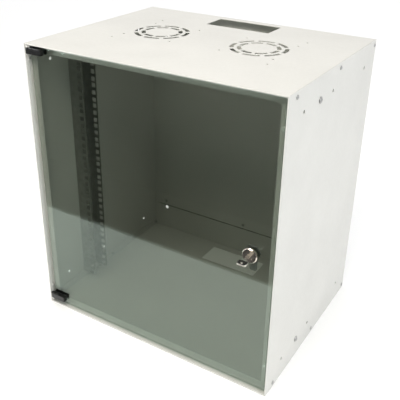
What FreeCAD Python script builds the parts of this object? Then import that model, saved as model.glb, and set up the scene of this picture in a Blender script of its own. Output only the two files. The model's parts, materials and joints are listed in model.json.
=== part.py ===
import FreeCAD, Part
import os
import re
import Sketcher

# Wall rack cabinet: folded sheet panels, two nineteen-inch rails and a glass door with a cam lock.
# X points right, Y back and Z up. The origin is the middle of the base's underside.

# Driving dimensions: millimetres, except the spans in degrees and the counts. The rails hold as many
# whole rack units as fit between the flanges of the top and the base.
SIZES = {
    # Folded panels
    "width": 520,
    "depth": 400,
    "height": 570,
    "gauge": 1.2,
    "seam": 0.2,
    "bend": 1.0,
    "recess": 14,
    "lip": 16.5,
    "flange": 17,
    "upstand": 88,
    "lap": 20,
    "side_return": 15,
    # Cable entries and fan grilles
    "entry_width": 140,
    "entry_length": 60,
    "entry_margin": 19,
    "fan_spread": 105,
    "fan_back": 13,
    "fan_pitch": 105,
    "fan_bore": 4.5,
    "tray_hole_spread": 162,
    "tray_hole_pitch": 168,
    "ring_outer": 54,
    "ring_inner": 40,
    "slot": 8,
    "arc_span": 36,
    "arc_count": 8,
    "outer_turn": 35,
    "inner_turn": 12.5,
    # Wall fixing
    "wall_span": 448,
    "wall_rise": 60,
    "wall_bore": 9,
    # Fasteners
    "screw_bore": 4.3,
    "screw_shank": 4,
    "screw_head": 7.6,
    "screw_crown": 1.8,
    "screw_length": 7,
    "panel_screw_front": 30,
    "panel_screw_rear": 9,
    "panel_screw_rise": 9.5,
    "rear_screw_span": 450,
    "bolt_bore": 6.4,
    "bolt_shank": 6,
    "bolt_head": 11.5,
    "bolt_crown": 3,
    "bolt_length": 9,
    "nut_across": 10,
    "nut_gauge": 5,
    # Rails
    "rail_setback": 109,
    "rail_depth": 42,
    "rail_gauge": 1.5,
    "rail_margin": 2.8,
    "rail_bolt_inset": 23.7,
    "rail_bolt_back": 18,
    "spare_front": 62,
    "spare_middle": 184,
    "spare_rear": 343,
    "rack_unit": 44.45,
    "rack_units": "=floor((height - 2 * flange) / rack_unit)",
    "column_inset": 27.45,
    "hole_square": 9.5,
    "hole_first": 6.35,
    "hole_pitch": 15.875,
    # Glass door
    "glass_gauge": 5,
    "glass_setback": 5,
    "glass_edge": 0.6,
    "hinge_gap": 11.5,
    "latch_gap": 5.4,
    "door_gap": 6.4,
    "buffer_radius": 5,
    "buffer_inset": 9,
    "buffer_rise": 56,
    "buffer_gap": 0.3,
    # Door hinges
    "pivot_inset": 9.5,
    "pivot_setback": 0.5,
    "knuckle": 4.5,
    "pin_radius": 2,
    "pin_clearance": 0.05,
    "pin_reach": 9,
    "clamp_reach": 33,
    "clamp_height": 11.4,
    "clamp_wall": 2.2,
    "clamp_round": 1.2,
    "liner": 0.6,
    "ear_radius": 3.8,
    "ear_gauge": 3,
    "ear_gap": 0.2,
    "bracket_gauge": 1.5,
    "bracket_width": 9,
    "bracket_height": 32,
    "bracket_setback": 4,
    "hinge_screw_bore": 3.1,
    "hinge_screw_shank": 3,
    "hinge_screw_head": 5.5,
    "hinge_screw_crown": 1.2,
    "hinge_screw_first": 12,
    "hinge_screw_pitch": 14,
    "lower_hinge_rise": 11.5,
    "washer_gauge": 0.5,
    "grub_radius": 2,
    "grub_head": 0.8,
    "grub_first": 13,
    "grub_pitch": 14,
    # Cam lock and its key
    "lock_inset": 48,
    "lock_bore": 10,
    "lock_head": 14,
    "lock_face": 5,
    "lock_bevel": 1.5,
    "gasket": 0.5,
    "barrel": 9.5,
    "barrel_end": 17,
    "lock_washer_radius": 13,
    "lock_nut_across": 27,
    "lock_nut_gauge": 3.5,
    "plug": 6,
    "plug_clearance": 0.05,
    "plug_sink": 0.4,
    "tail": 7,
    "tail_clearance": 0.1,
    "cam_gauge": 2,
    "cam_width": 14,
    "cam_reach": 38,
    "cam_round": 4,
    "cam_screw_head": 9,
    "cam_screw_shank": 4,
    "cam_screw_crown": 2,
    "cam_screw_depth": 5,
    "key_width": 7,
    "key_gauge": 2,
    "key_depth": 13,
    "key_neck": 18,
    "key_grip": 4,
    "key_slack": 0.15,
    "bow_width": 17,
    "bow_length": 12,
    "bow_gauge": 3.2,
    "bow_round": 4,
    "bow_hole": 1.8,
}

# Places and sizes that several pieces share, worked out from the driving dimensions.
FRONT = "(-depth / 2)"
BACK = "(depth / 2)"
INNER_WALL = "(width / 2 - gauge)"
TRAY_HALF = "(width / 2 - gauge - seam)"
HEM = "(2 * gauge)"
LIP_FRONT = f"({FRONT} + recess)"
ENTRY_REAR = f"({BACK} - entry_margin)"
REAR_PANEL = f"({BACK} - 2 * gauge - seam)"
REAR_PANEL_EDGE = "(upstand - lap)"
REAR_SCREW_RISE = "(upstand - lap / 2)"
RAIL_LENGTH = "(rack_units * rack_unit)"
RAIL_FOOT = f"((height - {RAIL_LENGTH}) / 2)"
RAIL_FRONT = f"({FRONT} + rail_setback)"
RAIL_BOLT = f"({RAIL_FRONT} + rail_bolt_back)"
RAIL_BOLT_FOOT = f"({RAIL_FOOT} + rail_bolt_inset)"
HOLE_COLUMN = "(width / 2 - column_inset)"
PANEL_SCREWS = (f"({FRONT} + panel_screw_front)",
                "((panel_screw_front - panel_screw_rear) / 2)",
                f"({BACK} - panel_screw_rear)")
SPARE_HOLES = (f"({FRONT} + spare_front)", f"({FRONT} + spare_middle)", f"({FRONT} + spare_rear)")
PANEL_SCREW_RISES = ("panel_screw_rise", "(height - panel_screw_rise)")
RAIL_BOLT_RISES = (RAIL_BOLT_FOOT, f"(height - {RAIL_BOLT_FOOT})")
GLASS_FRONT = f"({FRONT} + glass_setback)"
GLASS_BACK = f"({GLASS_FRONT} + glass_gauge)"
PIVOT_X = "(pivot_inset - width / 2)"
PIVOT_Y = f"({FRONT} + pivot_setback)"
UPPER_EAR = f"(height - {HEM} - ear_gap - ear_gauge)"
LOWER_EAR = "lower_hinge_rise"
UPPER_CLAMP = f"({UPPER_EAR} - ear_gap - clamp_height)"
LOWER_CLAMP = "(lower_hinge_rise + ear_gauge + washer_gauge + ear_gap)"
SLOT_FRONT = "(glass_setback - pivot_setback - liner)"
SLOT_BACK = "(glass_setback - pivot_setback + glass_gauge + liner)"
SLOT_END = "(hinge_gap - pivot_inset - liner)"
CLAMP_BACK = f"({SLOT_BACK} + clamp_wall)"
LOCK_X = "(width / 2 - lock_inset)"
LOCK_Z = "(height / 2)"
BARREL_BACK = "(glass_setback - barrel_end)"
CAM_FRONT = f"({BARREL_BACK} - ear_gap)"
CAM_BACK = f"({CAM_FRONT} - cam_gauge)"
LOCK_FRONT = "(gasket + lock_face)"
PLUG_FRONT = f"({LOCK_FRONT} - plug_sink)"
BOW_BACK = f"({LOCK_FRONT} + key_neck)"
HINGE_RIM = f"({HEM} - pivot_inset)"
BRACKET_FRONT = "(bracket_setback - pivot_setback)"
BRACKET_BACK = f"({BRACKET_FRONT} + bracket_width)"
BRACKET_MIDDLE = f"({BRACKET_FRONT} + bracket_width / 2)"
UPPER_PLATE = f"({UPPER_EAR} + ear_gauge - bracket_height)"
HINGE_SCREW_RISES = ("hinge_screw_first", "(hinge_screw_first + hinge_screw_pitch)")
HINGE_SCREW_HEIGHTS = (*(f"({LOWER_EAR} + {rise})" for rise in HINGE_SCREW_RISES),
                       *(f"({UPPER_EAR} + ear_gauge - {rise})" for rise in HINGE_SCREW_RISES))
GRUBS = ("grub_first", "(grub_first + grub_pitch)")
SIDES = (("-", -1), ("", 1))
# A cut that removes less than this, in cubic millimetres, missed the material.
SMALLEST_CUT = 0.01

doc = FreeCAD.newDocument("rack_cabinet")
sheet = doc.addObject("Spreadsheet::Sheet", "sizes")
subparts = []


def fill_sheet():
    for row, (name, number) in enumerate(SIZES.items(), start=1):
        sheet.set(f"A{row}", name)
        sheet.set(f"B{row}", str(number))
        sheet.setAlias(f"B{row}", name)
    doc.recompute()


def bound(text):
    """The expression with each driving dimension named by its cell of the sheet."""
    return re.sub(r"[a-z_]+", lambda word: f"sizes.{word[0]}" if word[0] in SIZES else word[0], text)


def amount(text):
    return float(sheet.evalExpression(bound(text)))


def place(piece, x, y, z, turn=FreeCAD.Rotation()):
    piece.Placement = FreeCAD.Placement(FreeCAD.Vector(amount(x), amount(y), amount(z)), turn)
    for axis, text in zip("xyz", (x, y, z)):
        piece.setExpression(f"Placement.Base.{axis}", bound(text))


def facing(x, y, z):
    """The turn that points a piece's own Z axis along a direction."""
    return FreeCAD.Rotation(FreeCAD.Vector(0, 0, 1), FreeCAD.Vector(x, y, z))


def new_body(label, kept=True):
    body = doc.addObject("PartDesign::Body", label)
    body.Label = label
    if kept:
        subparts.append(body)
    return body


def new_sketch(body, name, role, level="0", shift=("0", "0"), spin=0):
    """A sketch on one of the body's own planes, at a level along that plane's row axis."""
    sketch = body.newObject("Sketcher::SketchObject", f"{body.Name}_{name}")
    support = next(plane for plane in body.Origin.OriginFeatures if plane.Role == role)
    sketch.AttachmentSupport = [(support, "")]
    sketch.MapMode = "FlatFace"
    sketch.AttachmentOffset = FreeCAD.Placement(FreeCAD.Vector(), FreeCAD.Rotation(spin, 0, 0))
    along = f"-({level})" if role == "XZ_Plane" else level
    for axis, text in zip("xyz", (*shift, along)):
        sketch.setExpression(f"AttachmentOffset.Base.{axis}", bound(text))
    return sketch


def locate(sketch, edge, point, x, y):
    for kind, text in (("DistanceX", x), ("DistanceY", y)):
        number = sketch.addConstraint(Sketcher.Constraint(kind, -1, 1, edge, point, amount(text)))
        sketch.setExpression(f"Constraints[{number}]", bound(text))


def draw_outline(sketch, points):
    first = sketch.GeometryCount
    spots = [FreeCAD.Vector(amount(x), amount(y), 0) for x, y in points]
    for start, end in zip(spots, spots[1:] + spots[:1]):
        sketch.addGeometry(Part.LineSegment(start, end), False)
    for index, (x, y) in enumerate(points):
        following = first + (index + 1) % len(points)
        sketch.addConstraint(Sketcher.Constraint("Coincident", first + index, 2, following, 1))
        locate(sketch, first + index, 1, x, y)


def draw_rectangle(sketch, x0, y0, x1, y1):
    draw_outline(sketch, [(x0, y0), (x1, y0), (x1, y1), (x0, y1)])


def set_radius(sketch, edge, text):
    number = sketch.addConstraint(Sketcher.Constraint("Radius", edge, amount(text)))
    sketch.setExpression(f"Constraints[{number}]", bound(text))


def draw_circle(sketch, x, y, radius):
    centre = FreeCAD.Vector(amount(x), amount(y), 0)
    edge = sketch.addGeometry(Part.Circle(centre, FreeCAD.Vector(0, 0, 1), amount(radius)), False)
    locate(sketch, edge, 3, x, y)
    set_radius(sketch, edge, radius)


def pad(body, sketch, length):
    """Adds material from the sketch's level towards plus X, Y or Z."""
    feature = body.newObject("PartDesign::Pad", f"{sketch.Name}_pad")
    feature.Profile = sketch
    feature.Reversed = "XZ_Plane" in sketch.AttachmentSupport[0][0].Role
    feature.setExpression("Length", bound(length))
    doc.recompute()
    return feature


def pocket(body, sketch, depth=None):
    """Cuts the sketch through the whole body both ways, or to a depth towards the material."""
    before = body.Shape.Volume
    feature = body.newObject("PartDesign::Pocket", f"{sketch.Name}_cut")
    feature.Profile = sketch
    if depth is None:
        feature.Type = "ThroughAll"
        feature.SideType = "Symmetric"
    else:
        feature.setExpression("Length", bound(depth))
    doc.recompute()
    if depth is not None and before - body.Shape.Volume < SMALLEST_CUT:
        feature.Reversed = True
        doc.recompute()
    if before - body.Shape.Volume < SMALLEST_CUT:
        raise RuntimeError(f"{sketch.Name} cuts nothing")
    return feature


def revolve(body, sketch):
    feature = body.newObject("PartDesign::Revolution", f"{sketch.Name}_turn")
    feature.Profile = sketch
    feature.ReferenceAxis = (sketch, ["V_Axis"])
    feature.Angle = 360
    doc.recompute()


def round_edges(body, radius, wanted):
    base = body.Tip
    names = [f"Edge{index}" for index, edge in enumerate(base.Shape.Edges, start=1) if wanted(edge)]
    if not names:
        raise RuntimeError(f"{body.Label} has no such edge to round")
    feature = body.newObject("PartDesign::Fillet", f"{base.Name}_round")
    feature.Base = (base, names)
    feature.setExpression("Radius", bound(radius))
    doc.recompute()


def runs_along(edge, axis, **where):
    """Whether an edge is parallel to an axis and lies at the given coordinates."""
    box = edge.BoundBox
    spans = {"X": (box.XMin, box.XMax), "Y": (box.YMin, box.YMax), "Z": (box.ZMin, box.ZMax)}
    low, high = spans[axis]
    across = [name for name in "XYZ" if name != axis]
    straight = high - low > 1 and all(spans[name][1] - spans[name][0] < 1e-4 for name in across)
    return straight and all(abs(spans[name][0] - amount(text)) < 1e-3 for name, text in where.items())


def turned(label, profile, kept=True):
    """A solid of revolution about its own Z axis, from radius and height pairs."""
    body = new_body(label, kept)
    sketch = new_sketch(body, "section", "XZ_Plane")
    draw_outline(sketch, profile)
    revolve(body, sketch)
    return body


def group(label, source, places):
    """Separate copies of one piece, each with its own place and turn, as one node."""
    copies = []
    for number, (x, y, z, turn) in enumerate(places, start=1):
        copy = doc.addObject("App::Link", f"{label}_{number}")
        copy.LinkedObject = source
        place(copy, x, y, z, turn)
        copies.append(copy)
    whole = doc.addObject("Part::Compound", label)
    whole.Label = label
    whole.Links = copies
    subparts.append(whole)


def draw_arc_slot(sketch, inner, outer):
    """One arc slot about the sketch's origin, with radial ends, centred on its X axis."""
    half = "(arc_span / 2 * 1 deg)"
    arcs = []
    for radius in (inner, outer):
        x = f"{radius} * cos{half}"
        y = f"{radius} * sin{half}"
        middle = FreeCAD.Vector(amount(radius), 0, 0)
        low = FreeCAD.Vector(amount(x), -amount(y), 0)
        high = FreeCAD.Vector(amount(x), amount(y), 0)
        arc = sketch.addGeometry(Part.Arc(low, middle, high), False)
        sketch.addConstraint(Sketcher.Constraint("Coincident", arc, 3, -1, 1))
        locate(sketch, arc, 1, x, f"-{y}")
        number = sketch.addConstraint(Sketcher.Constraint("DistanceY", -1, 1, arc, 2, amount(y)))
        sketch.setExpression(f"Constraints[{number}]", bound(y))
        arcs.append((arc, low, high))
    for end in (1, 2):
        line = sketch.addGeometry(Part.LineSegment(arcs[0][end], arcs[1][end]), False)
        sketch.addConstraint(Sketcher.Constraint("Coincident", line, 1, arcs[0][0], end))
        sketch.addConstraint(Sketcher.Constraint("Coincident", line, 2, arcs[1][0], end))


def cut_grille(body, name, x, outer, spin):
    """A ring of arc slots about a fan's centre."""
    sketch = new_sketch(body, name, "XY_Plane", shift=(x, "fan_back"), spin=spin)
    draw_arc_slot(sketch, f"({outer} - slot)", outer)
    first = pocket(body, sketch)
    ring = body.newObject("PartDesign::PolarPattern", f"{sketch.Name}_ring")
    ring.Originals = [first]
    ring.Axis = (sketch, ["N_Axis"])
    ring.Angle = 360
    ring.setExpression("Occurrences", bound("arc_count"))
    body.Tip = ring
    doc.recompute()


def tray(label):
    """A top or base: a sheet with a hemmed front, a stop lip, side flanges and a rear upstand."""
    body = new_body(label)
    sketch = new_sketch(body, "sheet", "XY_Plane")
    draw_rectangle(sketch, f"-{TRAY_HALF}", FRONT, TRAY_HALF, BACK)
    pad(body, sketch, "gauge")
    hem_half = f"({TRAY_HALF} - gauge)"
    sketch = new_sketch(body, "hem", "XY_Plane", "gauge")
    draw_rectangle(sketch, f"-{hem_half}", FRONT, hem_half, LIP_FRONT)
    pad(body, sketch, "gauge")
    sketch = new_sketch(body, "stop", "XY_Plane", "gauge")
    draw_rectangle(sketch, f"-{TRAY_HALF}", LIP_FRONT, TRAY_HALF, f"{LIP_FRONT} + gauge")
    pad(body, sketch, "lip - gauge")
    sketch = new_sketch(body, "flanges", "XY_Plane", "gauge")
    for side in ("-", ""):
        draw_rectangle(sketch, f"{side}{hem_half}", f"{LIP_FRONT} + gauge + seam",
                       f"{side}{TRAY_HALF}", f"{BACK} - gauge - seam")
    pad(body, sketch, "flange - gauge")
    sketch = new_sketch(body, "upstand", "XY_Plane", "gauge")
    draw_rectangle(sketch, f"-{TRAY_HALF}", f"{BACK} - gauge", TRAY_HALF, BACK)
    pad(body, sketch, "upstand - gauge")

    long = amount("width / 2")
    round_edges(body, "bend", lambda edge: runs_along(edge, "X", Y=FRONT) and edge.Length > long)
    round_edges(body, "bend", lambda edge: runs_along(edge, "X", Y=BACK, Z="0"))

    sketch = new_sketch(body, "entry", "XY_Plane")
    draw_rectangle(sketch, "-entry_width / 2", f"{ENTRY_REAR} - entry_length", "entry_width / 2", ENTRY_REAR)
    pocket(body, sketch)
    sketch = new_sketch(body, "flange_holes", "YZ_Plane")
    for y in PANEL_SCREWS:
        draw_circle(sketch, y, "panel_screw_rise", "screw_bore / 2")
    pocket(body, sketch)
    sketch = new_sketch(body, "rear_holes", "XZ_Plane")
    for side in ("-", ""):
        draw_circle(sketch, f"{side}wall_span / 2", "wall_rise", "wall_bore / 2")
    for share in (-1, 0, 1):
        draw_circle(sketch, f"{share} * rear_screw_span / 2", REAR_SCREW_RISE, "screw_bore / 2")
    pocket(body, sketch)
    return body


def base_panel():
    tray("base_panel")


def top_panel():
    """The base's tray turned over, with two fan grilles."""
    body = tray("top_panel")
    for side, x in (("left", "-fan_spread"), ("right", "fan_spread")):
        cut_grille(body, f"{side}_outer_ring", x, "ring_outer", amount("outer_turn"))
        cut_grille(body, f"{side}_inner_ring", x, "ring_inner", amount("inner_turn"))
    sketch = new_sketch(body, "fan_holes", "XY_Plane")
    for along in ("-", "+"):
        for x in ("-fan_spread", "fan_spread"):
            for across in ("-", "+"):
                draw_circle(sketch, f"{x} {across} fan_pitch / 2",
                            f"fan_back {along} fan_pitch / 2", "fan_bore / 2")
        for x in ("-tray_hole_spread", "tray_hole_spread"):
            draw_circle(sketch, x, f"fan_back {along} tray_hole_pitch / 2", "fan_bore / 2")
    pocket(body, sketch)
    place(body, "0", "0", "height", FreeCAD.Rotation(FreeCAD.Vector(0, 1, 0), 180))


def side_panel(label, side):
    """A side sheet with a hemmed front edge, a stop lip and a rear flange."""
    body = new_body(label)
    outer = f"{side}(width / 2)"
    inner = f"{side}{INNER_WALL}"
    sketch = new_sketch(body, "sheet", "XY_Plane")
    draw_rectangle(sketch, inner, FRONT, outer, BACK)
    pad(body, sketch, "height")
    hem = f"{side}(width / 2 - {HEM})"
    sketch = new_sketch(body, "hem", "XY_Plane", "gauge + seam")
    draw_rectangle(sketch, hem, FRONT, inner, LIP_FRONT)
    pad(body, sketch, "height - 2 * (gauge + seam)")
    sketch = new_sketch(body, "stop", "XY_Plane", "lip + seam")
    draw_rectangle(sketch, f"{side}(width / 2 - lip)", LIP_FRONT, inner, f"{LIP_FRONT} + gauge")
    pad(body, sketch, "height - 2 * (lip + seam)")
    sketch = new_sketch(body, "return", "XY_Plane", "upstand + seam")
    draw_rectangle(sketch, f"{side}(width / 2 - side_return)", f"{BACK} - gauge", inner, BACK)
    pad(body, sketch, "height - 2 * (upstand + seam)")

    long = amount("height / 2")
    round_edges(body, "bend", lambda edge: runs_along(edge, "Z", Y=FRONT) and edge.Length > long)
    round_edges(body, "bend", lambda edge: runs_along(edge, "Z", X=outer, Y=BACK))

    sketch = new_sketch(body, "holes", "YZ_Plane")
    for z in PANEL_SCREW_RISES:
        for y in PANEL_SCREWS:
            draw_circle(sketch, y, z, "screw_bore / 2")
    for z in RAIL_BOLT_RISES:
        for y in (RAIL_BOLT, *SPARE_HOLES):
            draw_circle(sketch, y, z, "bolt_bore / 2")
    pocket(body, sketch)
    return body


def hinge_side_panel(label, side):
    """A side whose hem is also drilled for the hinge screws."""
    body = side_panel(label, side)
    sketch = new_sketch(body, "hinge_holes", "YZ_Plane", f"{side}(width / 2 - {HEM})")
    for z in HINGE_SCREW_HEIGHTS:
        draw_circle(sketch, f"{PIVOT_Y} + {BRACKET_MIDDLE}", z, "hinge_screw_bore / 2")
    pocket(body, sketch, "gauge")


def rear_panel():
    """A flat sheet that laps inside the upstands of the top and the base."""
    body = new_body("rear_panel")
    half = f"({INNER_WALL} - seam)"
    sketch = new_sketch(body, "sheet", "XZ_Plane", REAR_PANEL)
    draw_rectangle(sketch, f"-{half}", REAR_PANEL_EDGE, half, f"height - {REAR_PANEL_EDGE}")
    pad(body, sketch, "gauge")
    sketch = new_sketch(body, "holes", "XZ_Plane")
    for share in (-1, 0, 1):
        for z in (REAR_SCREW_RISE, f"height - {REAR_SCREW_RISE}"):
            draw_circle(sketch, f"{share} * rear_screw_span / 2", z, "screw_bore / 2")
    pocket(body, sketch)


def rail(label, side):
    """A channel bolted to the side, its two flanges punched on the rack pitch."""
    body = new_body(label)
    web = f"{side}{INNER_WALL}"
    web_inside = f"{side}({INNER_WALL} - rail_gauge)"
    edge_x = f"{side}({HOLE_COLUMN} - hole_square / 2 - rail_margin)"
    back = f"({RAIL_FRONT} + rail_depth)"
    sketch = new_sketch(body, "channel", "XY_Plane", RAIL_FOOT)
    draw_outline(sketch, [
        (web, RAIL_FRONT), (edge_x, RAIL_FRONT),
        (edge_x, f"{RAIL_FRONT} + rail_gauge"), (web_inside, f"{RAIL_FRONT} + rail_gauge"),
        (web_inside, f"{back} - rail_gauge"), (edge_x, f"{back} - rail_gauge"),
        (edge_x, back), (web, back)])
    pad(body, sketch, RAIL_LENGTH)
    round_edges(body, "bend", lambda edge: runs_along(edge, "Z", X=web))
    sketch = new_sketch(body, "bolt_holes", "YZ_Plane")
    for z in RAIL_BOLT_RISES:
        draw_circle(sketch, RAIL_BOLT, z, "bolt_bore / 2")
    pocket(body, sketch)
    sketch = new_sketch(body, "unit_holes", "XZ_Plane")
    column = f"{side}{HOLE_COLUMN}"
    for number in range(3):
        middle = f"({RAIL_FOOT} + hole_first + {number} * hole_pitch)"
        draw_rectangle(sketch, f"{column} - hole_square / 2", f"{middle} - hole_square / 2",
                       f"{column} + hole_square / 2", f"{middle} + hole_square / 2")
    unit = pocket(body, sketch)
    upright = next(line for line in body.Origin.OriginFeatures if line.Role == "Z_Axis")
    units = body.newObject("PartDesign::LinearPattern", f"{body.Name}_units")
    units.Originals = [unit]
    units.Direction = (upright, [""])
    units.setExpression("Length", bound("(rack_units - 1) * rack_unit"))
    units.setExpression("Occurrences", bound("rack_units"))
    body.Tip = units
    doc.recompute()


def pan_screw(label, shank, head, crown, length, kept=False):
    """A screw whose head stands on its own XY plane, with the shank below it."""
    return turned(label, [
        ("0", f"-({length})"), (f"{shank} / 2", f"-({length})"), (f"{shank} / 2", "0"), (f"{head} / 2", "0"),
        (f"{head} / 2", f"{crown} / 2"), (f"{head} / 4", crown), ("0", crown)], kept)


def panel_fasteners():
    """Screws of the sides and the rear panel, and the rail bolts with their nuts."""
    screw = pan_screw("side_screw", "screw_shank", "screw_head", "screw_crown", "screw_length")
    group("panel_screws", screw, [
        (f"{side}(width / 2)", y, z, facing(way, 0, 0))
        for side, way in SIDES for y in PANEL_SCREWS for z in PANEL_SCREW_RISES])

    screw = pan_screw("rear_screw", "screw_shank", "screw_head", "screw_crown", "2 * gauge + seam")
    group("rear_screws", screw, [
        (f"{share} * rear_screw_span / 2", REAR_PANEL, z, facing(0, -1, 0))
        for share in (-1, 0, 1) for z in (REAR_SCREW_RISE, f"height - {REAR_SCREW_RISE}")])

    bolt = pan_screw("rail_bolt", "bolt_shank", "bolt_head", "bolt_crown", "bolt_length")
    group("rail_bolts", bolt, [
        (f"{side}(width / 2)", RAIL_BOLT, z, facing(way, 0, 0))
        for side, way in SIDES for z in RAIL_BOLT_RISES])
    nut = hexagon_nut("rail_nut", "nut_across", "nut_gauge", "bolt_shank / 2", kept=False)
    group("rail_nuts", nut, [
        (f"{side}({INNER_WALL} - rail_gauge)", RAIL_BOLT, z, facing(-way, 0, 0))
        for side, way in SIDES for z in RAIL_BOLT_RISES])


def hexagon_nut(label, across, thickness, bore, kept=True):
    """A hexagon nut that stands on its own XY plane."""
    body = new_body(label, kept)
    sketch = new_sketch(body, "hexagon", "XY_Plane")
    corner = f"({across} / sqrt(3))"
    flat = f"({across} / 2)"
    draw_outline(sketch, [(corner, "0"), (f"{corner} / 2", flat), (f"-{corner} / 2", flat),
                          (f"-{corner}", "0"), (f"-{corner} / 2", f"-{flat}"), (f"{corner} / 2", f"-{flat}")])
    pad(body, sketch, thickness)
    sketch = new_sketch(body, "bore", "XY_Plane")
    draw_circle(sketch, "0", "0", f"{bore} + pin_clearance")
    pocket(body, sketch)
    return body


def glass_pane():
    body = new_body("glass_pane")
    sketch = new_sketch(body, "pane", "XZ_Plane", GLASS_FRONT)
    draw_rectangle(sketch, "hinge_gap - width / 2", "door_gap", "width / 2 - latch_gap", "height - door_gap")
    pad(body, sketch, "glass_gauge")
    round_edges(body, "glass_edge", lambda edge: edge.Length > amount("2 * glass_gauge"))
    sketch = new_sketch(body, "lock_hole", "XZ_Plane")
    draw_circle(sketch, LOCK_X, LOCK_Z, "lock_bore")
    pocket(body, sketch)


def door_buffers():
    """Two soft stops on the lip that the door closes against."""
    length = "(recess - glass_setback - glass_gauge - buffer_gap)"
    stop = turned("door_buffer", [
        ("0", "0"), ("buffer_radius", "0"), ("buffer_radius", f"{length} / 2"),
        ("buffer_radius / 2", length), ("0", length)], kept=False)
    group("door_buffers", stop, [
        ("width / 2 - buffer_inset", LIP_FRONT, z, facing(0, -1, 0))
        for z in ("buffer_rise", "height - buffer_rise")])


def hinge_bracket(label, ear, plate, screw_rises):
    """The fixed half of a hinge: a plate on the rim's inside, with an ear that holds the pin."""
    body = new_body(label)
    sketch = new_sketch(body, "ear", "XY_Plane", ear)
    draw_outline(sketch, [(HINGE_RIM, BRACKET_FRONT), ("0", "-ear_radius"), (SLOT_END, "0"),
                          (SLOT_END, BRACKET_BACK), (HINGE_RIM, BRACKET_BACK)])
    pad(body, sketch, "ear_gauge")
    sketch = new_sketch(body, "eye", "XY_Plane", ear)
    draw_circle(sketch, "0", "0", "ear_radius")
    pad(body, sketch, "ear_gauge")
    sketch = new_sketch(body, "plate", "XY_Plane", plate)
    draw_rectangle(sketch, HINGE_RIM, BRACKET_FRONT, f"{HINGE_RIM} + bracket_gauge", BRACKET_BACK)
    pad(body, sketch, "bracket_height")
    sketch = new_sketch(body, "pin_hole", "XY_Plane")
    draw_circle(sketch, "0", "0", "pin_radius + pin_clearance")
    pocket(body, sketch)
    sketch = new_sketch(body, "screw_holes", "YZ_Plane", HINGE_RIM)
    for z in screw_rises:
        draw_circle(sketch, BRACKET_MIDDLE, z, "hinge_screw_bore / 2")
    pocket(body, sketch, "bracket_gauge")
    place(body, PIVOT_X, PIVOT_Y, "0")


def hinge_screws():
    screw = pan_screw("hinge_screw", "hinge_screw_shank", "hinge_screw_head", "hinge_screw_crown",
                      "bracket_gauge + gauge")
    group("hinge_screws", screw, [
        (f"{PIVOT_X} + {HINGE_RIM} + bracket_gauge", f"{PIVOT_Y} + {BRACKET_MIDDLE}", z, facing(1, 0, 0))
        for z in HINGE_SCREW_HEIGHTS])


def hinge_pin(label, foot, length):
    body = turned(label, [("0", "0"), ("pin_radius", "0"), ("pin_radius", length), ("0", length)])
    place(body, PIVOT_X, PIVOT_Y, foot)


def ring(label, inner, outer, foot, thickness):
    return turned(label, [(inner, foot), (outer, foot), (outer, f"{foot} + {thickness}"),
                          (inner, f"{foot} + {thickness}")])


def hinge_clamp(label, foot, bore_level):
    """The moving half of a hinge: a block that grips the pane and turns about the pin."""
    body = new_body(label)
    left = f"({SLOT_END} - clamp_wall)"
    sketch = new_sketch(body, "block", "XY_Plane")
    draw_outline(sketch, [("0", "-knuckle"), ("clamp_reach", "-knuckle"), ("clamp_reach", CLAMP_BACK),
                          (left, CLAMP_BACK), (left, "0"), ("0", "0")])
    pad(body, sketch, "clamp_height")
    sketch = new_sketch(body, "knuckle", "XY_Plane")
    draw_circle(sketch, "0", "0", "knuckle")
    pad(body, sketch, "clamp_height")
    round_edges(body, "clamp_round", lambda edge: runs_along(edge, "Z", X="clamp_reach", Y="-knuckle"))
    sketch = new_sketch(body, "slot", "XY_Plane")
    draw_rectangle(sketch, SLOT_END, SLOT_FRONT, "clamp_reach + clamp_wall", SLOT_BACK)
    pocket(body, sketch)
    sketch = new_sketch(body, "pin_bore", "XY_Plane", bore_level)
    draw_circle(sketch, "0", "0", "pin_radius + pin_clearance")
    pocket(body, sketch, "pin_reach + ear_gap")
    sketch = new_sketch(body, "grub_holes", "XZ_Plane", SLOT_BACK)
    for x in GRUBS:
        draw_circle(sketch, x, "clamp_height / 2", "grub_radius + pin_clearance")
    pocket(body, sketch, "clamp_wall")
    place(body, PIVOT_X, PIVOT_Y, foot)


def hinge_liner(label, foot):
    """A soft channel between a clamp and the pane."""
    body = new_body(label)
    pane = f"({SLOT_END} + liner)"
    sketch = new_sketch(body, "channel", "XY_Plane")
    draw_outline(sketch, [
        (SLOT_END, SLOT_FRONT), ("clamp_reach", SLOT_FRONT),
        ("clamp_reach", f"{SLOT_FRONT} + liner"), (pane, f"{SLOT_FRONT} + liner"),
        (pane, f"{SLOT_BACK} - liner"), ("clamp_reach", f"{SLOT_BACK} - liner"),
        ("clamp_reach", SLOT_BACK), (SLOT_END, SLOT_BACK)])
    pad(body, sketch, "clamp_height")
    place(body, PIVOT_X, PIVOT_Y, foot)


def clamp_screws():
    length = "(clamp_wall + grub_head)"
    grub = turned("clamp_screw", [("0", "0"), ("grub_radius", "0"), ("grub_radius", length), ("0", length)],
                  kept=False)
    group("clamp_screws", grub, [
        (f"{PIVOT_X} + {x}", f"{PIVOT_Y} + {SLOT_BACK}", f"{foot} + clamp_height / 2", facing(0, 1, 0))
        for foot in (UPPER_CLAMP, LOWER_CLAMP) for x in GRUBS])


def at_lock(body):
    """Puts a lock piece in the pane's hole, its own Z axis pointing out of the front."""
    place(body, LOCK_X, GLASS_FRONT, LOCK_Z, facing(0, -1, 0))


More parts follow.
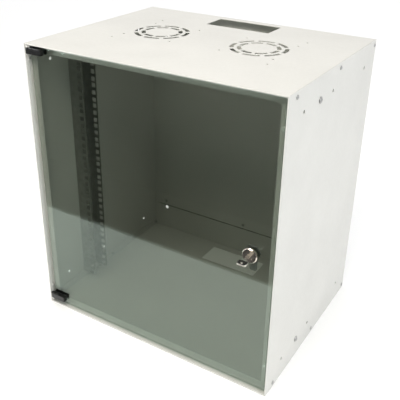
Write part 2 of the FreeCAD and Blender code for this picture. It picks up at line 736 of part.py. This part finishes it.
def lock_body():
    """The fixed lock: a housing with its gasket, washer and nut."""
    bore = "(plug + plug_clearance)"
    sleeve = "(barrel + plug_clearance)"
    at_lock(turned("lock_housing", [
        (bore, BARREL_BACK), ("barrel", BARREL_BACK), ("barrel", "gasket"), ("lock_head", "gasket"),
        ("lock_head", f"{LOCK_FRONT} - lock_bevel"), ("lock_head - lock_bevel", LOCK_FRONT),
        (bore, LOCK_FRONT)]))
    at_lock(ring("lock_gasket", sleeve, "lock_head", "0", "gasket"))
    at_lock(ring("lock_washer", sleeve, "lock_washer_radius", "-glass_gauge - washer_gauge", "washer_gauge"))
    nut = hexagon_nut("lock_nut", "lock_nut_across", "lock_nut_gauge", "barrel")
    place(nut, LOCK_X, f"{GLASS_BACK} + washer_gauge", LOCK_Z, facing(0, 1, 0))


def lock_plug():
    """The turning core: a plug with a keyway in front and a square tail behind."""
    body = turned("lock_plug", [
        ("0", BARREL_BACK), ("plug", BARREL_BACK), ("plug", PLUG_FRONT), ("0", PLUG_FRONT)])
    sketch = new_sketch(body, "tail", "XY_Plane", CAM_BACK)
    draw_rectangle(sketch, "-tail / 2", "-tail / 2", "tail / 2", "tail / 2")
    pad(body, sketch, f"{BARREL_BACK} - {CAM_BACK}")
    sketch = new_sketch(body, "keyway", "XY_Plane", PLUG_FRONT)
    draw_rectangle(sketch, "-key_width / 2 - key_slack", "-key_gauge / 2 - key_slack",
                   "key_width / 2 + key_slack", "key_gauge / 2 + key_slack")
    pocket(body, sketch, "key_depth")
    sketch = new_sketch(body, "screw_bore", "XY_Plane", CAM_BACK)
    draw_circle(sketch, "0", "0", "cam_screw_shank / 2 + plug_clearance")
    pocket(body, sketch, "cam_screw_depth")
    at_lock(body)


def lock_cam():
    """The bolt plate on the plug's tail, hanging down when unlocked."""
    body = new_body("lock_cam")
    sketch = new_sketch(body, "plate", "XY_Plane", CAM_BACK)
    draw_rectangle(sketch, "-cam_width / 2", "-cam_reach", "cam_width / 2", "cam_width / 2")
    pad(body, sketch, "cam_gauge")
    round_edges(body, "cam_round", lambda edge: runs_along(edge, "Z"))
    sketch = new_sketch(body, "square", "XY_Plane")
    half = "(tail / 2 + tail_clearance)"
    draw_rectangle(sketch, f"-{half}", f"-{half}", half, half)
    pocket(body, sketch)
    at_lock(body)


def cam_screw():
    body = pan_screw("cam_screw", "cam_screw_shank", "cam_screw_head", "cam_screw_crown",
                     "cam_screw_depth - key_slack", kept=True)
    place(body, LOCK_X, f"{GLASS_FRONT} - {CAM_BACK}", LOCK_Z, facing(0, 1, 0))


def key():
    """A key in the plug: a steel blade, and a cast bow on its end."""
    body = new_body("key_blade")
    foot = f"({PLUG_FRONT} - key_depth + key_slack)"
    sketch = new_sketch(body, "blank", "XY_Plane", foot)
    draw_rectangle(sketch, "-key_width / 2", "-key_gauge / 2", "key_width / 2", "key_gauge / 2")
    pad(body, sketch, f"{BOW_BACK} + key_grip - {foot}")
    at_lock(body)

    body = new_body("key_bow")
    sketch = new_sketch(body, "bow", "XZ_Plane", "-bow_gauge / 2")
    draw_rectangle(sketch, "-bow_width / 2", BOW_BACK, "bow_width / 2", f"{BOW_BACK} + bow_length")
    pad(body, sketch, "bow_gauge")
    round_edges(body, "bow_round", lambda edge: runs_along(edge, "Y"))
    sketch = new_sketch(body, "hole", "XZ_Plane")
    draw_circle(sketch, "0", f"{BOW_BACK} + (key_grip + bow_length) / 2", "bow_hole")
    pocket(body, sketch)
    sketch = new_sketch(body, "blade_slot", "XY_Plane", BOW_BACK)
    draw_rectangle(sketch, "-key_width / 2", "-key_gauge / 2", "key_width / 2", "key_gauge / 2")
    pocket(body, sketch, "key_grip")
    at_lock(body)


def check_and_write():
    doc.recompute()
    for piece in doc.Objects:
        if "Invalid" in piece.State or "Error" in piece.State:
            raise RuntimeError(f"{piece.Label} did not recompute: {piece.State}")
    os.makedirs("parts", exist_ok=True)
    for piece in subparts:
        if piece.Shape.isNull() or not piece.Shape.isValid():
            raise RuntimeError(f"{piece.Label} is not a valid shape")
        piece.Shape.exportStep(f"parts/{piece.Label}.step")


fill_sheet()
base_panel()
top_panel()
hinge_side_panel("left_side_panel", "-")
side_panel("right_side_panel", "")
rear_panel()
rail("left_rail", "-")
rail("right_rail", "")
panel_fasteners()
glass_pane()
door_buffers()
hinge_bracket("upper_hinge_bracket", UPPER_EAR, UPPER_PLATE, HINGE_SCREW_HEIGHTS[2:])
hinge_bracket("lower_hinge_bracket", LOWER_EAR, LOWER_EAR, HINGE_SCREW_HEIGHTS[:2])
hinge_screws()
hinge_pin("upper_hinge_pin", f"{UPPER_EAR} - ear_gap - pin_reach", "(pin_reach + ear_gap + ear_gauge)")
hinge_pin("lower_hinge_pin", LOWER_EAR, "(ear_gauge + washer_gauge + ear_gap + pin_reach)")
place(ring("hinge_washer", "(pin_radius + pin_clearance)", "ear_radius", "0", "washer_gauge"),
      PIVOT_X, PIVOT_Y, f"{LOWER_EAR} + ear_gauge")
hinge_clamp("upper_hinge_clamp", UPPER_CLAMP, "clamp_height")
hinge_clamp("lower_hinge_clamp", LOWER_CLAMP, "0")
hinge_liner("upper_hinge_liner", UPPER_CLAMP)
hinge_liner("lower_hinge_liner", LOWER_CLAMP)
clamp_screws()
lock_body()
lock_plug()
lock_cam()
cam_screw()
key()
check_and_write()
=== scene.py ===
import json
import math

import bmesh
import bpy
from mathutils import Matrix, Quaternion, Vector


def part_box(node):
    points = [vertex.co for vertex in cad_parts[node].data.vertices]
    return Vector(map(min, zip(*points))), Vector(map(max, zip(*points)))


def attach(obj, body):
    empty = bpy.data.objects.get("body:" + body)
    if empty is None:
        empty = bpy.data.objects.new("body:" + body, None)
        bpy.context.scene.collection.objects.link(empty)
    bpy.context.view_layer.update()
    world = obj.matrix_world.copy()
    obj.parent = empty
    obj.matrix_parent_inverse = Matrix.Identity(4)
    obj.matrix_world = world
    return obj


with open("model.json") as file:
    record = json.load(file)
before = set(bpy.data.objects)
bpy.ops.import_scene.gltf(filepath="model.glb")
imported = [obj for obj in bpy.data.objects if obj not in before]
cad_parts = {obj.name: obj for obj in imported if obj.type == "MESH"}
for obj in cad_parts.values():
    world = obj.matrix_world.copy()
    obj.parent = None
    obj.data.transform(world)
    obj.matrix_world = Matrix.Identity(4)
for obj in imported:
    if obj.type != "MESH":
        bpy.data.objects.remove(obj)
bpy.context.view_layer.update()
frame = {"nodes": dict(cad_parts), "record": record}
nodes = frame["nodes"]

MM = 0.001

# Camera, as fitted to the cabinet's edges in the photograph.
SENSOR = 36.0
FOCAL_PIXELS = 630.99
IMAGE_PIXELS = 400
SHIFT_PIXELS = -25
AZIMUTH = math.radians(31.082)
ELEVATION = math.radians(26.146)
ROLL = math.radians(1.01)
DISTANCE = 1.0293
TARGET = Vector((0.1148, -0.2, 0.4076))
CLIP_START = 0.01

# The table is white up to an edge in front of the cabinet, and the room beyond it is dark.
TABLE_EDGE = -0.497
TABLE_HEIGHT = 0.75
STAGE_REACH = 12.0
ROOM_WALL = -1.9
ROOM_TOP = 2.6
TABLE_WHITE = (0.97, 0.97, 0.97)
ROOM_DARK = (0.02, 0.022, 0.02)
STAGE_ROUGHNESS = 0.9
FLOOR_GLOW = 1.0

# Each lamp's place, aim, width and height, watts and colour. The sky lights the rest.
LAMPS = {
    "overhead": ((0.0, -1.2, 1.9), (0.0, -0.2, 0.4), (1.4, 0.5), 24, (1.0, 0.95, 0.85)),
    "window": ((2.3, -0.85, 0.8), (0.2, -0.2, 0.3), (0.6, 1.2), 19, (0.92, 0.97, 1.0)),
    "fill": ((-1.8, -1.8, 0.33), (-0.1, -0.2, 0.3), (1.0, 0.4), 50, (0.97, 0.99, 1.0)),
}
SKY_STRENGTH = 1.06

# Most values of a noise lie between these two.
NOISE_LOW = 0.3
NOISE_HIGH = 0.7

# Noise scales of each kind of finish: of its tone, its roughness and its fine bumps.
PAINT_SCALES = (9, 160, 1100)
METAL_SCALES = (90, 700, 1800)
MOULDED_SCALES = (40, 500, 2200)

# Depth of the bumps, and the radius that edges look rounded by.
BUMP_STRENGTH = 0.3
PAINT_PEEL = 0.12 * MM
PAINT_EDGE = 0.5 * MM
METAL_GRAIN = 0.02 * MM
METAL_EDGE = 0.2 * MM
MOULDED_EDGE = 0.4 * MM

PAINT_ROUGHNESS = (0.4, 0.52)
PAINT_GLOSS = 0.4
SILICONE_CLEAR = 0.1

# The pane's tones run from its lock-side edge, painted dark as shade for the gap between the pane and the
# rim, over its polished edges to its faces.
LOCK_EDGE_SHADE_TONE = 0.4
POLISHED_TONE = 0.5
FACE_TONE = 0.95
LOCK_EDGE_SHADE_WIDTH = 0.3 * MM
LOCK_EDGE_SHADE_FADE = 0.1 * MM
MIRROR_COLOUR = (0.85, 1.0, 0.95, 1)
MIRROR_STEEPNESS = 5.0

# Driver's recesses: points closer than the weld are one, and each head is turned against the one before it.
WELD = 0.001 * MM
RECESS_TAPER = 0.75
HEAD_TURN = 2.4
FORWARD = Vector((0, -1, 0))
BACKWARD = Vector((0, 1, 0))
RIGHTWARD = Vector((1, 0, 0))

# A dark bead, painted shade for the shadow line in the step where the rear panel laps on the upstands: its
# size, the waver of its width, and its closing ends.
BEAD_HEIGHT = 2.2 * MM
BEAD_DEPTH = 1.8 * MM
BEAD_STEPS = 160
BEAD_ARC = 8
BEAD_WAVER = 0.12
BEAD_SHORT_WAVES = 61
BEAD_LONG_WAVES = 23
BEAD_PHASE = 1
BEAD_CLOSING = 12
BEAD_TIP = 0.05
LAP_SHADE_MARGIN = 1.5 * MM
LAP_SHADE_OFFSET = 0.6 * MM


def add_node(tree, kind, **values):
    """A shader node with the given input values."""
    node = tree.nodes.new(kind)
    for name, value in values.items():
        node.inputs[name.replace("_", " ")].default_value = value
    return node


def calculate(tree, operation, *terms):
    """The result of a math node, whose terms are numbers or the outputs of other nodes."""
    node = add_node(tree, "ShaderNodeMath")
    node.operation = operation
    for socket, term in zip(node.inputs, terms):
        if isinstance(term, float):
            socket.default_value = term
        else:
            tree.links.new(term, socket)
    return node.outputs["Value"]


def coordinate(tree, kind, axis):
    """One axis of a point's place ("Object") or of its normal ("Normal"), in the cabinet's own frame."""
    place = add_node(tree, "ShaderNodeTexCoord")
    parts = add_node(tree, "ShaderNodeSeparateXYZ")
    tree.links.new(place.outputs[kind], parts.inputs["Vector"])
    return parts.outputs[axis]


def new_material(name):
    """A material with a Principled shader: the material, its node tree and the shader."""
    material = bpy.data.materials.new(name)
    material.use_nodes = True
    tree = material.node_tree
    return material, tree, tree.nodes["Principled BSDF"]


def noise(tree, scale, detail=4.0, stretch=(1, 1, 1)):
    """The value of a noise in the cabinet's own frame."""
    place = add_node(tree, "ShaderNodeTexCoord")
    mapping = add_node(tree, "ShaderNodeMapping", Scale=stretch)
    texture = add_node(tree, "ShaderNodeTexNoise", Scale=scale, Detail=detail)
    tree.links.new(place.outputs["Object"], mapping.inputs["Vector"])
    tree.links.new(mapping.outputs["Vector"], texture.inputs["Vector"])
    return texture.outputs["Fac"]


def ramp(tree, value, low, high):
    """A colour that goes from low to high with a value."""
    node = add_node(tree, "ShaderNodeValToRGB")
    start, end = node.color_ramp.elements
    start.position = NOISE_LOW
    start.color = (*low, 1)
    end.position = NOISE_HIGH
    end.color = (*high, 1)
    tree.links.new(value, node.inputs["Fac"])
    return node.outputs["Color"]


def spread(tree, value, low, high):
    """A number that goes from low to high with a value."""
    node = add_node(tree, "ShaderNodeMapRange", From_Min=NOISE_LOW, From_Max=NOISE_HIGH, To_Min=low,
                    To_Max=high)
    tree.links.new(value, node.inputs["Value"])
    return node.outputs["Result"]


def roughen(tree, shader, height, depth, edge):
    """Bumps of a depth, on edges that look rounded by a radius."""
    bump = add_node(tree, "ShaderNodeBump", Strength=BUMP_STRENGTH, Distance=depth)
    bevel = add_node(tree, "ShaderNodeBevel", Radius=edge)
    tree.links.new(height, bump.inputs["Height"])
    tree.links.new(bevel.outputs["Normal"], bump.inputs["Normal"])
    tree.links.new(bump.outputs["Normal"], shader.inputs["Normal"])


def powder_coat(name, low, high):
    """Baked paint: an even tone with a fine orange peel."""
    material, tree, shader = new_material(name)
    tone, gloss, peel = PAINT_SCALES
    tree.links.new(ramp(tree, noise(tree, tone), low, high), shader.inputs["Base Color"])
    tree.links.new(spread(tree, noise(tree, gloss), *PAINT_ROUGHNESS), shader.inputs["Roughness"])
    shader.inputs["Specular IOR Level"].default_value = PAINT_GLOSS
    roughen(tree, shader, noise(tree, peel, detail=2), PAINT_PEEL, PAINT_EDGE)
    return material


def plated(name, low, high, rough, stretch=(1, 1, 1)):
    """Bare or plated metal with fine marks."""
    material, tree, shader = new_material(name)
    tone, gloss, grain = METAL_SCALES
    shader.inputs["Metallic"].default_value = 1.0
    tree.links.new(ramp(tree, noise(tree, tone), low, high), shader.inputs["Base Color"])
    tree.links.new(spread(tree, noise(tree, gloss, stretch=stretch), *rough), shader.inputs["Roughness"])
    roughen(tree, shader, noise(tree, grain, stretch=stretch), METAL_GRAIN, METAL_EDGE)
    return material


def painted_light_plating(name, edge_highlight, dark, rough):
    """The plating of a flat key: smooth on its two faces, which are painted dark as a reflection of a dark
    room, and duller along its edges, which are painted bright as a highlight.
    """
    material, tree, shader = new_material(name)
    grain = METAL_SCALES[-1]
    shader.inputs["Metallic"].default_value = 1.0
    level = calculate(tree, "ABSOLUTE", coordinate(tree, "Normal", "Z"))
    # Colour by which way the surface faces: painted highlight on the edges, painted reflection on the faces.
    tree.links.new(ramp(tree, level, edge_highlight, dark), shader.inputs["Base Color"])
    tree.links.new(spread(tree, level, *rough), shader.inputs["Roughness"])
    roughen(tree, shader, noise(tree, grain), METAL_GRAIN, METAL_EDGE)
    return material


def moulded(name, low, high, rough, depth, gloss=0.5, edge=MOULDED_EDGE):
    """Moulded plastic or rubber with a fine grain."""
    material, tree, shader = new_material(name)
    tone, shine, grain = MOULDED_SCALES
    tree.links.new(ramp(tree, noise(tree, tone), low, high), shader.inputs["Base Color"])
    tree.links.new(spread(tree, noise(tree, shine), *rough), shader.inputs["Roughness"])
    shader.inputs["Specular IOR Level"].default_value = gloss
    roughen(tree, shader, noise(tree, grain, detail=2), depth, edge)
    return material


def silicone(name, low, high, rough, depth, gloss):
    """A soft stop that lets some light through."""
    material = moulded(name, low, high, rough, depth, gloss)
    shader = material.node_tree.nodes["Principled BSDF"]
    shader.inputs["Transmission Weight"].default_value = SILICONE_CLEAR
    return material


def pane_colour(tree, tint, polished, ground):
    """The pane's colour: its polished edges are darker than its faces, and its edge on the lock's side is the
    darkest, as painted shade for the shadowed gap between the pane and the rim."""
    face = calculate(tree, "ABSOLUTE", coordinate(tree, "Normal", "Y"))
    # The last strip of the pane at its lock-side end takes the ground colour on its edge face: painted shade
    # for the gap between the pane and the rim.
    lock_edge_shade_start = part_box("glass_pane")[1][0] - LOCK_EDGE_SHADE_WIDTH
    other = add_node(tree, "ShaderNodeMapRange", From_Min=lock_edge_shade_start, From_Max=lock_edge_shade_start + LOCK_EDGE_SHADE_FADE,
                     To_Min=POLISHED_TONE, To_Max=0.0)
    tree.links.new(coordinate(tree, "Object", "X"), other.inputs["Value"])
    tone = calculate(tree, "MAXIMUM", face, other.outputs["Result"])
    shade = add_node(tree, "ShaderNodeValToRGB")
    start, end = shade.color_ramp.elements
    start.position = LOCK_EDGE_SHADE_TONE
    start.color = (*ground, 1)
    end.position = FACE_TONE
    end.color = (*tint, 1)
    shade.color_ramp.elements.new(POLISHED_TONE).color = (*polished, 1)
    tree.links.new(tone, shade.inputs["Fac"])
    return shade.outputs["Color"]


def glass(name, tint, polished, ground, mirror):
    """Sheet glass: it lets light straight through, and mirrors more at a slant."""
    material, tree, shader = new_material(name)
    tree.nodes.remove(shader)
    clear = add_node(tree, "ShaderNodeBsdfTransparent")
    tree.links.new(pane_colour(tree, tint, polished, ground), clear.inputs["Color"])
    gloss = add_node(tree, "ShaderNodeBsdfGlossy", Color=MIRROR_COLOUR, Roughness=0.0)
    slant = add_node(tree, "ShaderNodeLayerWeight")
    steep = calculate(tree, "POWER", slant.outputs["Facing"], MIRROR_STEEPNESS)
    share = add_node(tree, "ShaderNodeMapRange", To_Min=mirror, To_Max=1.0)
    mix = add_node(tree, "ShaderNodeMixShader")
    tree.links.new(steep, share.inputs["Value"])
    tree.links.new(share.outputs["Result"], mix.inputs["Fac"])
    tree.links.new(clear.outputs["BSDF"], mix.inputs[1])
    tree.links.new(gloss.outputs["BSDF"], mix.inputs[2])
    tree.links.new(mix.outputs["Shader"], tree.nodes["Material Output"].inputs["Surface"])
    return material


def grey(value):
    """An even grey."""
    return (value, value, value)


SLOT_MATERIALS = {
    "panel_paint": powder_coat("panel_paint", (0.572, 0.566, 0.540), (0.612, 0.606, 0.578)),
    "rail_zinc": plated("rail_zinc", (0.42, 0.42, 0.40), (0.52, 0.52, 0.50), rough=(0.38, 0.55)),
    "zinc_steel": plated("zinc_steel", grey(0.36), (0.50, 0.50, 0.49), rough=(0.25, 0.42)),
    # ground: the dark colour of the pane's lock-side edge, painted shade for the gap between the pane and the
    # rim.
    "tinted_glass": glass("tinted_glass", tint=(0.765, 0.789, 0.760), polished=(0.72, 0.76, 0.72),
                          ground=(0.14, 0.19, 0.16), mirror=0.07),
    "clear_rubber": silicone("clear_rubber", (0.91, 0.92, 0.91), (0.96, 0.97, 0.96), rough=(0.15, 0.25),
                             depth=0.01 * MM, gloss=0.8),
    "black_rubber": moulded("black_rubber", grey(0.012), grey(0.025), rough=(0.6, 0.8), depth=0.05 * MM),
    "black_metal": moulded("black_metal", grey(0.010), grey(0.020), rough=(0.25, 0.35), depth=0.05 * MM),
    "black_plastic": moulded("black_plastic", grey(0.005), grey(0.010), rough=(0.06, 0.14),
                             depth=0.01 * MM, gloss=0.6, edge=1.0 * MM),
    "chrome": plated("chrome", (0.74, 0.66, 0.58), (0.84, 0.77, 0.70), rough=(0.13, 0.23)),
    "key_steel": plated("key_steel", (0.58, 0.56, 0.52), (0.70, 0.69, 0.66), rough=(0.18, 0.32),
                        stretch=(1, 6, 1)),
}

# The key's bow: its faces painted dark as a reflection, its edges painted bright as a highlight.
KEY_PAINTED_LIGHT = painted_light_plating("key_painted_light", edge_highlight=(0.95, 0.92, 0.86), dark=(0.07, 0.065, 0.06),
                           rough=(0.42, 0.10))


def finish_nodes():
    """Gives each CAD node the material of its slot, and the key's bow a plating with painted reflection on
    its faces and painted highlight on its edges.
    """
    for row in frame["record"]["subparts"]:
        mesh = nodes[row["node"]].data
        mesh.materials.clear()
        mesh.materials.append(SLOT_MATERIALS[row["material_slot"]])
    # The bow's plating has painted reflection and painted highlight in its colour.
    nodes["key_bow"].data.materials[0] = KEY_PAINTED_LIGHT


def solids_of(name):
    """Lowest and highest corner of each separate solid of a node, in an order that is the same each run."""
    shape = bmesh.new()
    shape.from_mesh(nodes[name].data)
    bmesh.ops.remove_doubles(shape, verts=shape.verts, dist=WELD)
    boxes = []
    left = set(shape.verts)
    while left:
        solid = set()
        reach = [left.pop()]
        while reach:
            vertex = reach.pop()
            solid.add(vertex)
            for edge in vertex.link_edges:
                other = edge.other_vert(vertex)
                if other in left:
                    left.remove(other)
                    reach.append(other)
        places = [vertex.co for vertex in solid]
        low = Vector(min(place[axis] for place in places) for axis in range(3))
        high = Vector(max(place[axis] for place in places) for axis in range(3))
        boxes.append((low, high))
    shape.free()
    return sorted(boxes, key=lambda box: tuple(box[0]))


def cross_outline(arm, half):
    """Corners of a plus sign, of a length and half a width of its arms."""
    return [(arm, -half), (arm, half), (half, half), (half, arm), (-half, arm), (-half, half),
            (-arm, half), (-arm, -half), (-half, -half), (-half, -arm), (half, -arm), (half, -half)]


def hexagon_outline(across):
    """Corners of a hexagon of a width across its flats."""
    radius = across / math.sqrt(3)
    return [(radius * math.cos(math.tau * i / 6), radius * math.sin(math.tau * i / 6)) for i in range(6)]


def add_recess(shape, outline, depth, mouth, outward, spin):
    """Adds a tapered plug to a cutter, with its mouth at a point and its floor inside the head."""
    turn = outward.to_track_quat("Z", "Y") @ Quaternion((0, 0, 1), spin)
    rings = []
    for height, scale in ((-depth, RECESS_TAPER), (depth, 2 - RECESS_TAPER)):
        places = [Vector((x * scale, y * scale, height)) for x, y in outline]
        rings.append([shape.verts.new(mouth + turn @ place) for place in places])
    inner, outer = rings
    count = len(outline)
    for i in range(count):
        after = (i + 1) % count
        shape.faces.new((inner[i], inner[after], outer[after], outer[i]))
    shape.faces.new(inner[::-1])
    shape.faces.new(outer)


def cut_recesses(name, outline, depth, facing):
    """Cuts a driver's recess into each head of a group of screws. Heads that face no one way face outward."""
    shape = bmesh.new()
    for number, (low, high) in enumerate(solids_of(name)):
        middle = (low + high) / 2
        outward = facing or Vector((math.copysign(1, middle.x), 0, 0))
        axis = max(range(3), key=lambda i: abs(outward[i]))
        mouth = middle.copy()
        mouth[axis] = high[axis] if outward[axis] > 0 else low[axis]
        add_recess(shape, outline, depth, mouth, outward, HEAD_TURN * number)
    mesh = bpy.data.meshes.new(f"{name}_recess")
    shape.to_mesh(mesh)
    shape.free()
    cutter = bpy.data.objects.new(f"{name}_recess", mesh)
    bpy.context.scene.collection.objects.link(cutter)
    cutter.hide_render = True
    cutter.hide_viewport = True
    cut = nodes[name].modifiers.new("recess", "BOOLEAN")
    cut.object = cutter
    cut.operation = "DIFFERENCE"
    cut.solver = "EXACT"
    return cutter


def cut_all_recesses():
    """Cuts the heads of all screws, by an outline, a depth and the way they face for each node."""
    bodies = frame["record"]["behaviour"]["bodies"]
    body_of = {node: body for body, members in bodies.items() for node in members}
    recesses = {
        "panel_screws": (cross_outline(arm=2.0 * MM, half=0.45 * MM), 1.2 * MM, None),
        "rear_screws": (cross_outline(arm=2.0 * MM, half=0.45 * MM), 1.2 * MM, FORWARD),
        "rail_bolts": (hexagon_outline(across=4.0 * MM), 2.0 * MM, None),
        "hinge_screws": (cross_outline(arm=1.5 * MM, half=0.35 * MM), 0.8 * MM, RIGHTWARD),
        "clamp_screws": (hexagon_outline(across=2.0 * MM), 1.6 * MM, BACKWARD),
        "cam_screw": (cross_outline(arm=2.4 * MM, half=0.5 * MM), 1.3 * MM, BACKWARD),
    }
    for name, (outline, depth, facing) in recesses.items():
        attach(cut_recesses(name, outline, depth, facing), body_of[name])


def bead_section(shape, along, start, length):
    """One half-round section of a bead, at a share of its length."""
    waves = math.sin(along * BEAD_SHORT_WAVES) * math.sin(along * BEAD_LONG_WAVES + BEAD_PHASE)
    size = 1 + BEAD_WAVER * waves
    if 0 < along < 1:
        size *= math.sqrt(min(1.0, BEAD_CLOSING * along, BEAD_CLOSING * (1 - along)))
    else:
        size *= BEAD_TIP
    section = []
    for j in range(BEAD_ARC + 1):
        angle = math.pi * j / BEAD_ARC
        section.append(shape.verts.new((start.x + length * along,
                                        start.y - BEAD_DEPTH * size * math.sin(angle),
                                        start.z + BEAD_HEIGHT / 2 * size * math.cos(angle))))
    return section


def add_bead(name, start, length):
    """A dark bead along X, half round, its width wavering a little: painted shade for a shadow line."""
    shape = bmesh.new()
    sections = [bead_section(shape, i / BEAD_STEPS, start, length) for i in range(BEAD_STEPS + 1)]
    for first, second in zip(sections, sections[1:]):
        for j in range(BEAD_ARC):
            shape.faces.new((first[j], first[j + 1], second[j + 1], second[j]))
        shape.faces.new((first[-1], first[0], second[0], second[-1]))
    shape.faces.new(sections[0][::-1])
    shape.faces.new(sections[-1])
    bmesh.ops.recalc_face_normals(shape, faces=shape.faces)
    mesh = bpy.data.meshes.new(name)
    shape.to_mesh(mesh)
    shape.free()
    mesh.polygons.foreach_set("use_smooth", [True] * len(mesh.polygons))
    # Black, as painted shade for the shadow line in the lap.
    mesh.materials.append(SLOT_MATERIALS["black_rubber"])
    bead = bpy.data.objects.new(name, mesh)
    bpy.context.scene.collection.objects.link(bead)
    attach(bead, "cabinet")


def shade_rear_panel_laps():
    """Dark beads in the step where the rear panel laps on the upstands of the base and the top: painted shade
    for the shadow line there.
    """
    low, high = (Vector(corner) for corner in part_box("rear_panel"))
    length = high.x - low.x - 2 * LAP_SHADE_MARGIN
    for name, level in (("lower_lap_shade", low.z - LAP_SHADE_OFFSET), ("upper_lap_shade", high.z + LAP_SHADE_OFFSET)):
        add_bead(name, Vector((low.x + LAP_SHADE_MARGIN, high.y, level)), length)


def flat_sheet(name, corners, material):
    """A four-cornered sheet of the stage."""
    mesh = bpy.data.meshes.new(name)
    mesh.from_pydata([Vector(corner) for corner in corners], [], [(0, 1, 2, 3)])
    mesh.materials.append(material)
    sheet = bpy.data.objects.new(name, mesh)
    bpy.context.scene.collection.objects.link(sheet)
    return sheet


def stage_material(name, colour, glow=0.0):
    """A plain matte material, which may glow."""
    material, _, shader = new_material(name)
    shader.inputs["Base Color"].default_value = (*colour, 1)
    shader.inputs["Roughness"].default_value = STAGE_ROUGHNESS
    shader.inputs["Emission Color"].default_value = (1, 1, 1, 1)
    shader.inputs["Emission Strength"].default_value = glow
    return material


def build_stage():
    """The white table, the floor that the camera sees beyond its edge, and the dark room that the glass
    mirrors there."""
    pale = stage_material("table_white", TABLE_WHITE)
    bright = stage_material("floor_white", TABLE_WHITE, FLOOR_GLOW)
    dark = stage_material("room_dark", ROOM_DARK)
    far = STAGE_REACH
    flat_sheet("table", [(-far, TABLE_EDGE, 0), (far, TABLE_EDGE, 0), (far, far, 0), (-far, far, 0)], pale)
    beyond = [(-far, -far, 0), (far, -far, 0), (far, TABLE_EDGE, 0), (-far, TABLE_EDGE, 0)]
    bounce = flat_sheet("bounce", beyond, pale)
    bounce.visible_camera = False
    bounce.visible_glossy = False
    apron = flat_sheet("floor", beyond, bright)
    apron.visible_diffuse = False
    apron.visible_glossy = False
    apron.visible_shadow = False
    ground = -TABLE_HEIGHT
    room = {
        "room_floor": [(-far, -far, ground), (far, -far, ground), (far, 0, ground), (-far, 0, ground)],
        "room_wall": [(-far, ROOM_WALL, ground), (far, ROOM_WALL, ground),
                      (far, ROOM_WALL, ROOM_TOP), (-far, ROOM_WALL, ROOM_TOP)],
    }
    for name, corners in room.items():
        flat_sheet(name, corners, dark).visible_camera = False


def soft_lamp(name, place, aim, size, watts, colour):
    """A rectangular lamp that shines on a point."""
    data = bpy.data.lights.new(name, "AREA")
    data.shape = "RECTANGLE"
    data.size, data.size_y = size
    data.energy = watts
    data.color = colour
    lamp = bpy.data.objects.new(name, data)
    lamp.location = place
    lamp.rotation_mode = "QUATERNION"
    lamp.rotation_quaternion = (Vector(aim) - Vector(place)).to_track_quat("-Z", "Y")
    bpy.context.scene.collection.objects.link(lamp)


def light_stage():
    """An even white sky and three soft lamps."""
    world = bpy.data.worlds.new("studio")
    bpy.context.scene.world = world
    world.use_nodes = True
    sky = world.node_tree.nodes["Background"]
    sky.inputs["Color"].default_value = (1, 1, 1, 1)
    sky.inputs["Strength"].default_value = SKY_STRENGTH
    for name, (place, aim, size, watts, colour) in LAMPS.items():
        soft_lamp(name, place, aim, size, watts, colour)
    bpy.context.scene.view_settings.view_transform = "Standard"


def place_camera():
    """The photograph's camera."""
    data = bpy.data.cameras.new("photo_camera")
    data.sensor_width = SENSOR
    data.lens = FOCAL_PIXELS / IMAGE_PIXELS * SENSOR
    data.shift_y = SHIFT_PIXELS / IMAGE_PIXELS
    data.clip_start = CLIP_START
    camera = bpy.data.objects.new("photo_camera", data)
    back = Vector((math.sin(AZIMUTH) * math.cos(ELEVATION),
                   -math.cos(AZIMUTH) * math.cos(ELEVATION),
                   math.sin(ELEVATION)))
    camera.location = TARGET + back * DISTANCE
    camera.rotation_mode = "QUATERNION"
    camera.rotation_quaternion = (-back).to_track_quat("-Z", "Y") @ Quaternion((0, 0, 1), ROLL)
    bpy.context.scene.collection.objects.link(camera)
    bpy.context.scene.camera = camera


finish_nodes()
cut_all_recesses()
shade_rear_panel_laps()
build_stage()
light_stage()
place_camera()
